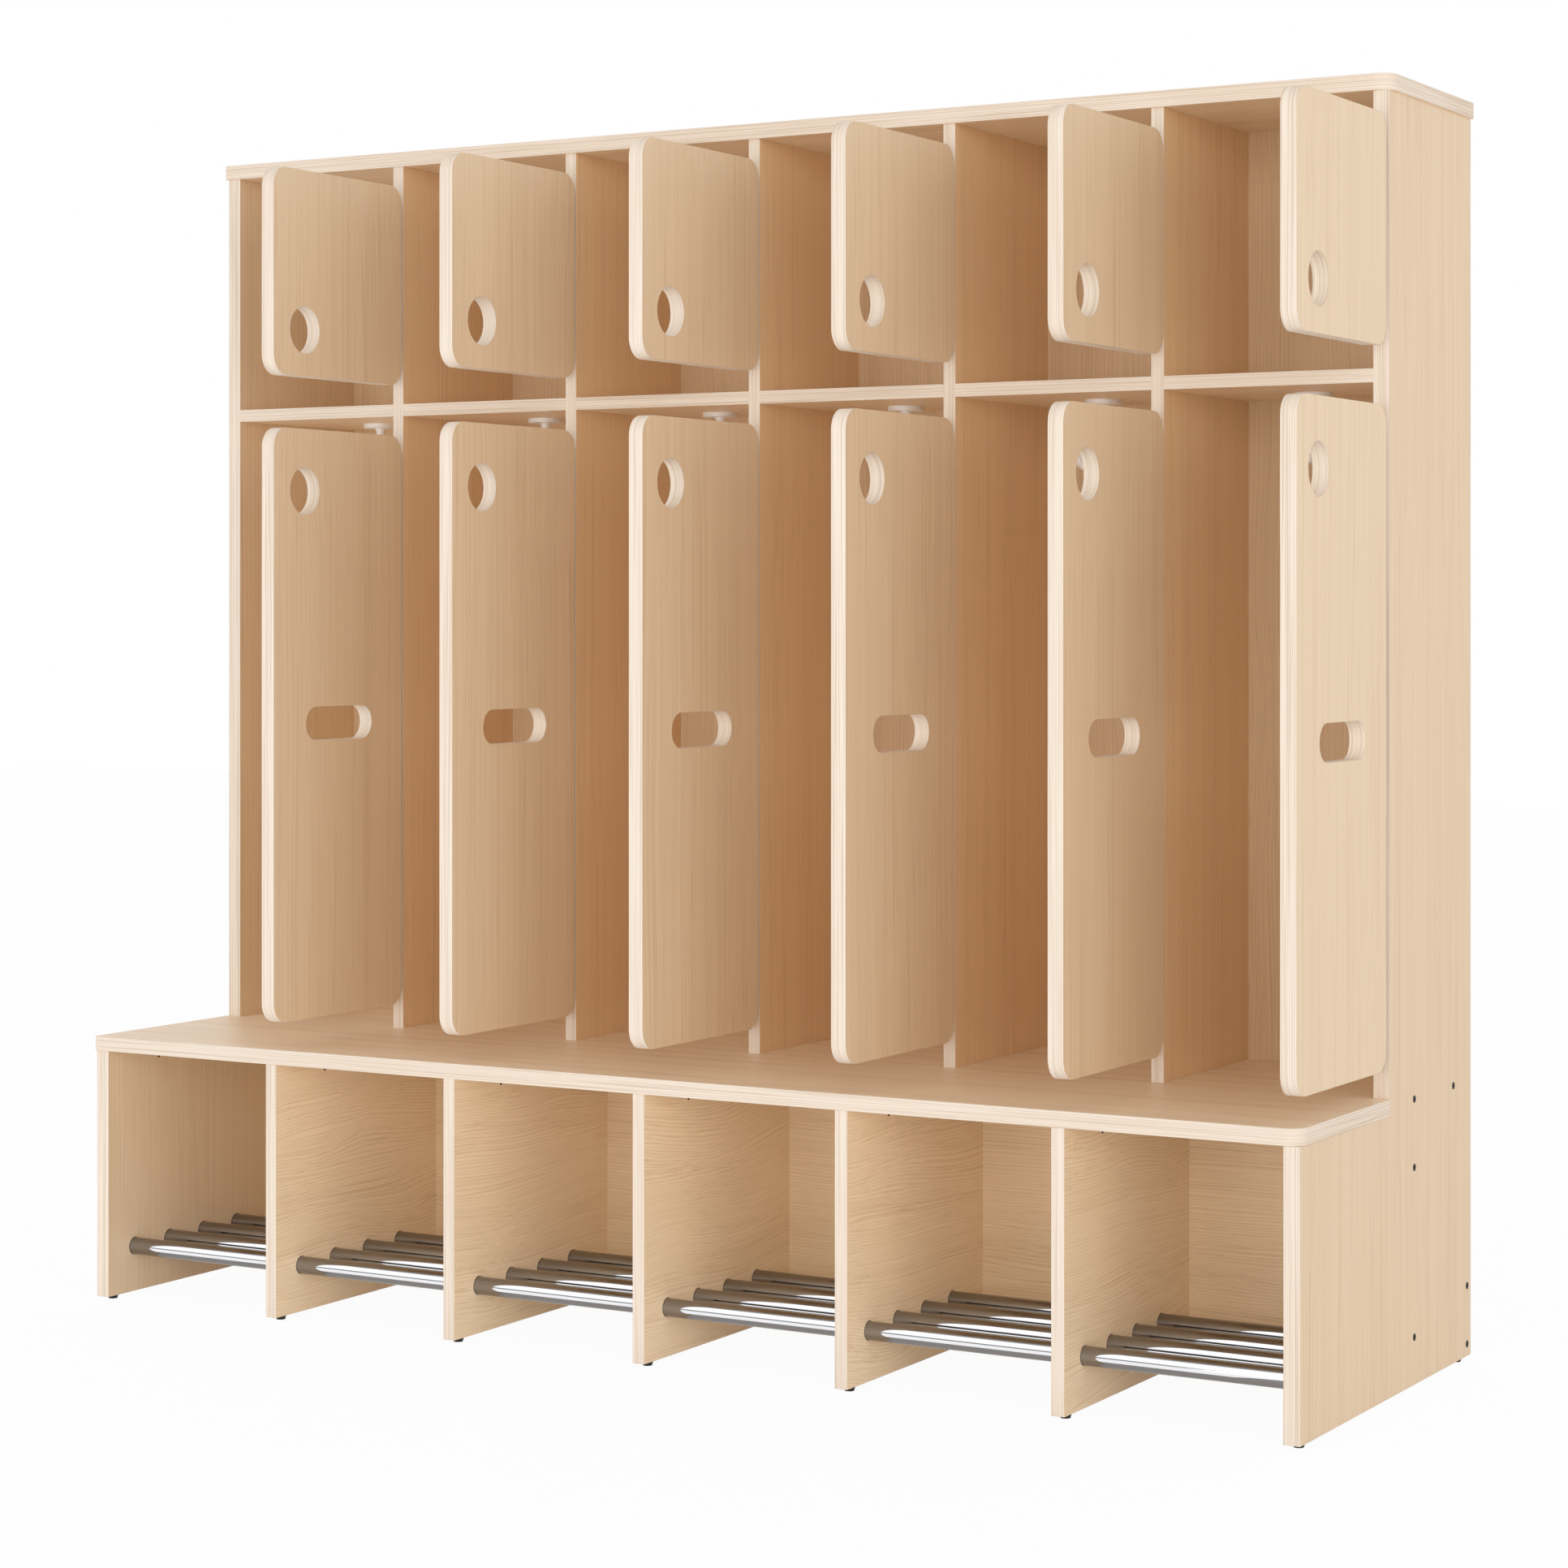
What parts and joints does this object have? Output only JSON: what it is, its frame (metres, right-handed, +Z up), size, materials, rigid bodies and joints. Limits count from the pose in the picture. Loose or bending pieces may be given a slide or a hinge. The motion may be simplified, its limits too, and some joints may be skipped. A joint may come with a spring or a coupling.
{
  "type": "changing room bench",
  "caption": "Changing room bench in light beech laminate with a row of lockers over a seat and a shoe rack of chrome tubes, locker doors standing open",
  "frame": {"origin": "on the floor, under the middle of the whole piece with its doors open", "axes": "+X to the right seen from the front, +Y to the back, +Z up"},
  "size_m": [1.666, 0.553, 1.498],
  "materials": {
    "side_laminate": "satin beech laminate, upright grain, pale edge band",
    "top_laminate": "satin beech laminate, lengthwise grain, pale edge band",
    "carcass_laminate": "satin beech laminate, pale edge band",
    "door_laminate": "satin beech laminate with a layered pale edge",
    "hinge_steel": "nickel-plated pressed steel",
    "tube_chrome": "polished chrome",
    "black_plastic": "moulded, matt",
    "white_plastic": "moulded, satin"
  },
  "bodies": {
    "bench_frame": {"side_panel_left": "side_laminate", "side_panel_right": "side_laminate", "top_panel": "top_laminate", "seat_panel": "top_laminate", "upper_partition_1": "carcass_laminate", "upper_partition_2": "carcass_laminate", "upper_partition_3": "carcass_laminate", "upper_partition_4": "carcass_laminate", "upper_partition_5": "carcass_laminate", "bench_partition_1": "carcass_laminate", "bench_partition_2": "carcass_laminate", "bench_partition_3": "carcass_laminate", "bench_partition_4": "carcass_laminate", "bench_partition_5": "carcass_laminate", "shelf_1": "carcass_laminate", "shelf_2": "carcass_laminate", "shelf_3": "carcass_laminate", "shelf_4": "carcass_laminate", "shelf_5": "carcass_laminate", "shelf_6": "carcass_laminate", "upper_back_panel": "carcass_laminate", "bench_back_panel": "carcass_laminate", "rear_rail": "carcass_laminate", "hinge_arms": "hinge_steel", "hinge_plates": "hinge_steel", "shoe_tubes": "tube_chrome", "floor_glides": "black_plastic", "hook_bases": "white_plastic"},
    "upper_door_1_body": {"upper_door_1": "door_laminate", "upper_door_cups_1": "hinge_steel"},
    "upper_door_2_body": {"upper_door_2": "door_laminate", "upper_door_cups_2": "hinge_steel"},
    "upper_door_3_body": {"upper_door_3": "door_laminate", "upper_door_cups_3": "hinge_steel"},
    "upper_door_4_body": {"upper_door_4": "door_laminate", "upper_door_cups_4": "hinge_steel"},
    "upper_door_5_body": {"upper_door_5": "door_laminate", "upper_door_cups_5": "hinge_steel"},
    "upper_door_6_body": {"upper_door_6": "door_laminate", "upper_door_cups_6": "hinge_steel"},
    "lower_door_1_body": {"lower_door_1": "door_laminate", "lower_door_cups_1": "hinge_steel"},
    "lower_door_2_body": {"lower_door_2": "door_laminate", "lower_door_cups_2": "hinge_steel"},
    "lower_door_3_body": {"lower_door_3": "door_laminate", "lower_door_cups_3": "hinge_steel"},
    "lower_door_4_body": {"lower_door_4": "door_laminate", "lower_door_cups_4": "hinge_steel"},
    "lower_door_5_body": {"lower_door_5": "door_laminate", "lower_door_cups_5": "hinge_steel"},
    "lower_door_6_body": {"lower_door_6": "door_laminate", "lower_door_cups_6": "hinge_steel"},
    "coat_hook_1_body": {"coat_hook_1": "white_plastic"},
    "coat_hook_2_body": {"coat_hook_2": "white_plastic"},
    "coat_hook_3_body": {"coat_hook_3": "white_plastic"},
    "coat_hook_4_body": {"coat_hook_4": "white_plastic"},
    "coat_hook_5_body": {"coat_hook_5": "white_plastic"},
    "coat_hook_6_body": {"coat_hook_6": "white_plastic"}
  },
  "joints": [
    {"name": "upper_door_1_hinge", "type": "hinge", "parent": "bench_frame", "child": "upper_door_1_body", "pos_m": [-0.54475, -0.01525, 1.32025], "axis": [0, 0, 1], "range_deg": [-90, 5]},
    {"name": "upper_door_2_hinge", "type": "hinge", "parent": "bench_frame", "child": "upper_door_2_body", "pos_m": [-0.27175, -0.01525, 1.32025], "axis": [0, 0, 1], "range_deg": [-90, 5]},
    {"name": "upper_door_3_hinge", "type": "hinge", "parent": "bench_frame", "child": "upper_door_3_body", "pos_m": [0.00125, -0.01525, 1.32025], "axis": [0, 0, 1], "range_deg": [-90, 5]},
    {"name": "upper_door_4_hinge", "type": "hinge", "parent": "bench_frame", "child": "upper_door_4_body", "pos_m": [0.27425, -0.01525, 1.32025], "axis": [0, 0, 1], "range_deg": [-90, 5]},
    {"name": "upper_door_5_hinge", "type": "hinge", "parent": "bench_frame", "child": "upper_door_5_body", "pos_m": [0.54725, -0.01525, 1.32025], "axis": [0, 0, 1], "range_deg": [-90, 5]},
    {"name": "upper_door_6_hinge", "type": "hinge", "parent": "bench_frame", "child": "upper_door_6_body", "pos_m": [0.82025, -0.01525, 1.32025], "axis": [0, 0, 1], "range_deg": [-90, 5]},
    {"name": "lower_door_1_hinge", "type": "hinge", "parent": "bench_frame", "child": "lower_door_1_body", "pos_m": [-0.54475, -0.01525, 0.74875], "axis": [0, 0, 1], "range_deg": [-90, 5]},
    {"name": "lower_door_2_hinge", "type": "hinge", "parent": "bench_frame", "child": "lower_door_2_body", "pos_m": [-0.27175, -0.01525, 0.74875], "axis": [0, 0, 1], "range_deg": [-90, 5]},
    {"name": "lower_door_3_hinge", "type": "hinge", "parent": "bench_frame", "child": "lower_door_3_body", "pos_m": [0.00125, -0.01525, 0.74875], "axis": [0, 0, 1], "range_deg": [-90, 5]},
    {"name": "lower_door_4_hinge", "type": "hinge", "parent": "bench_frame", "child": "lower_door_4_body", "pos_m": [0.27425, -0.01525, 0.74875], "axis": [0, 0, 1], "range_deg": [-90, 5]},
    {"name": "lower_door_5_hinge", "type": "hinge", "parent": "bench_frame", "child": "lower_door_5_body", "pos_m": [0.54725, -0.01525, 0.74875], "axis": [0, 0, 1], "range_deg": [-90, 5]},
    {"name": "lower_door_6_hinge", "type": "hinge", "parent": "bench_frame", "child": "lower_door_6_body", "pos_m": [0.82025, -0.01525, 0.74875], "axis": [0, 0, 1], "range_deg": [-90, 5]},
    {"name": "coat_hook_1_swivel", "type": "hinge", "parent": "bench_frame", "child": "coat_hook_1_body", "pos_m": [-0.6825, 0.144, 1.1436], "axis": [0, 0, 1], "continuous": true},
    {"name": "coat_hook_2_swivel", "type": "hinge", "parent": "bench_frame", "child": "coat_hook_2_body", "pos_m": [-0.4095, 0.144, 1.1436], "axis": [0, 0, 1], "continuous": true},
    {"name": "coat_hook_3_swivel", "type": "hinge", "parent": "bench_frame", "child": "coat_hook_3_body", "pos_m": [-0.1365, 0.144, 1.1436], "axis": [0, 0, 1], "continuous": true},
    {"name": "coat_hook_4_swivel", "type": "hinge", "parent": "bench_frame", "child": "coat_hook_4_body", "pos_m": [0.1365, 0.144, 1.1436], "axis": [0, 0, 1], "continuous": true},
    {"name": "coat_hook_5_swivel", "type": "hinge", "parent": "bench_frame", "child": "coat_hook_5_body", "pos_m": [0.4095, 0.144, 1.1436], "axis": [0, 0, 1], "continuous": true},
    {"name": "coat_hook_6_swivel", "type": "hinge", "parent": "bench_frame", "child": "coat_hook_6_body", "pos_m": [0.6825, 0.144, 1.1436], "axis": [0, 0, 1], "continuous": true}
  ]
}
